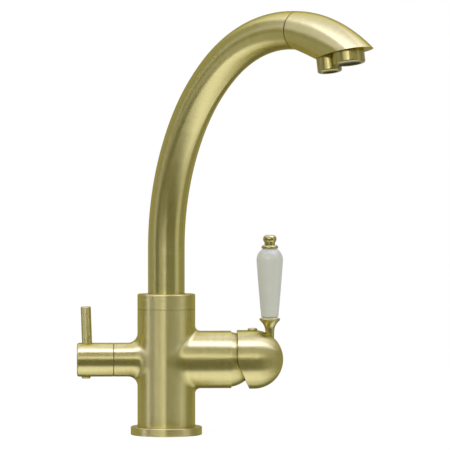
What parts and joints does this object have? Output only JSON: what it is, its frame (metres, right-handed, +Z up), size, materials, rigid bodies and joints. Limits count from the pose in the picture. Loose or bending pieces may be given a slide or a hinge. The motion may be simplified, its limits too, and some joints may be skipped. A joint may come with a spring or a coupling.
{
  "type": "three way filtered water tap",
  "caption": "Swan-neck kitchen mixer tap with a side mixing lever, a separate filtered-water handle and two outlets side by side on a swivelling spout.",
  "frame": {"origin": "middle of the base flange's underside, on the column's axis", "axes": "+Z up the column, +X out along the mixing lever's arm, -X along the filter handle's arm, -Y towards the user; the spout rests swivelled 50 degrees from +X towards -Y"},
  "size_m": [0.2189, 0.2029, 0.3263],
  "materials": {
    "brushed_brass": "satin",
    "porcelain": "gloss",
    "raw_brass": "satin",
    "rubber_seal": "matte",
    "slip_plastic": "matte",
    "cartridge_plastic": "matte",
    "ceramic_disc": "matte",
    "stainless": "satin",
    "aerator_plastic": "matte"
  },
  "bodies": {
    "tap_body": {"body_casting": "brushed_brass", "base_flange": "brushed_brass", "base_seal": "rubber_seal", "spout_collar": "brushed_brass", "slip_ring_lower": "slip_plastic", "slip_ring_upper": "slip_plastic", "cartridge_base": "cartridge_plastic", "port_seal_hot": "rubber_seal", "port_seal_cold": "rubber_seal", "port_seal_mixed": "rubber_seal", "cartridge_housing": "cartridge_plastic", "fixed_disc": "ceramic_disc", "cartridge_nut": "raw_brass", "cartridge_cover": "brushed_brass", "filter_valve_body": "raw_brass", "filter_seat_seal": "rubber_seal", "filter_fixed_disc": "ceramic_disc"},
    "mixer_carrier": {"lever_guide": "cartridge_plastic", "pivot_pin": "stainless"},
    "mixing_disc": {"moving_disc": "ceramic_disc", "disc_carrier": "cartridge_plastic"},
    "mixer_lever": {"lever_spindle": "raw_brass", "mixer_cap": "brushed_brass", "cap_set_screw": "stainless", "cap_plug": "brushed_brass", "lever_neck": "brushed_brass", "lever_stud": "stainless", "grip_washer_lower": "slip_plastic", "grip_washer_upper": "slip_plastic", "porcelain_grip": "porcelain", "lever_finial": "brushed_brass"},
    "filter_handle": {"filter_knob": "brushed_brass", "filter_lever_pin": "brushed_brass", "filter_knob_screw": "stainless", "filter_knob_button": "brushed_brass", "filter_spindle": "raw_brass", "filter_o_ring_inner": "rubber_seal", "filter_o_ring_outer": "rubber_seal", "filter_moving_disc": "ceramic_disc"},
    "spout": {"spout_spigot": "raw_brass", "spout_o_ring_lower": "rubber_seal", "spout_o_ring_upper": "rubber_seal", "spout_tube": "brushed_brass", "joint_ring": "raw_brass", "spout_nozzle": "brushed_brass", "filtered_tube": "stainless", "tube_ferrule": "raw_brass", "tube_o_ring": "rubber_seal", "mains_aerator_housing": "brushed_brass", "mains_aerator_insert": "aerator_plastic", "mains_aerator_washer": "rubber_seal", "filtered_aerator_housing": "brushed_brass", "filtered_aerator_insert": "aerator_plastic", "filtered_aerator_washer": "rubber_seal"}
  },
  "joints": [
    {"name": "mixer_turn", "type": "hinge", "parent": "tap_body", "child": "mixer_carrier", "pos_m": [0.036, 0, 0.0588], "axis": [1, 0, 0], "range_deg": [-45, 45]},
    {"name": "mixer_lift", "type": "hinge", "parent": "mixer_carrier", "child": "mixer_lever", "pos_m": [0.048, 0, 0.0588], "axis": [0, 1, 0], "range_deg": [0, 22]},
    {"name": "disc_slide", "type": "slide", "parent": "mixer_carrier", "child": "mixing_disc", "axis": [0, 0, 1], "range_m": [0, 0.0054]},
    {"name": "filter_turn", "type": "hinge", "parent": "tap_body", "child": "filter_handle", "pos_m": [-0.055, 0, 0.0588], "axis": [1, 0, 0], "range_deg": [0, 90]},
    {"name": "spout_swivel", "type": "hinge", "parent": "tap_body", "child": "spout", "pos_m": [0, 0, 0.1], "axis": [0, 0, 1], "continuous": true}
  ],
  "couplings": [
    {"joint": "disc_slide", "follows": "mixer_lift", "m_per_rad": 0.014}
  ]
}
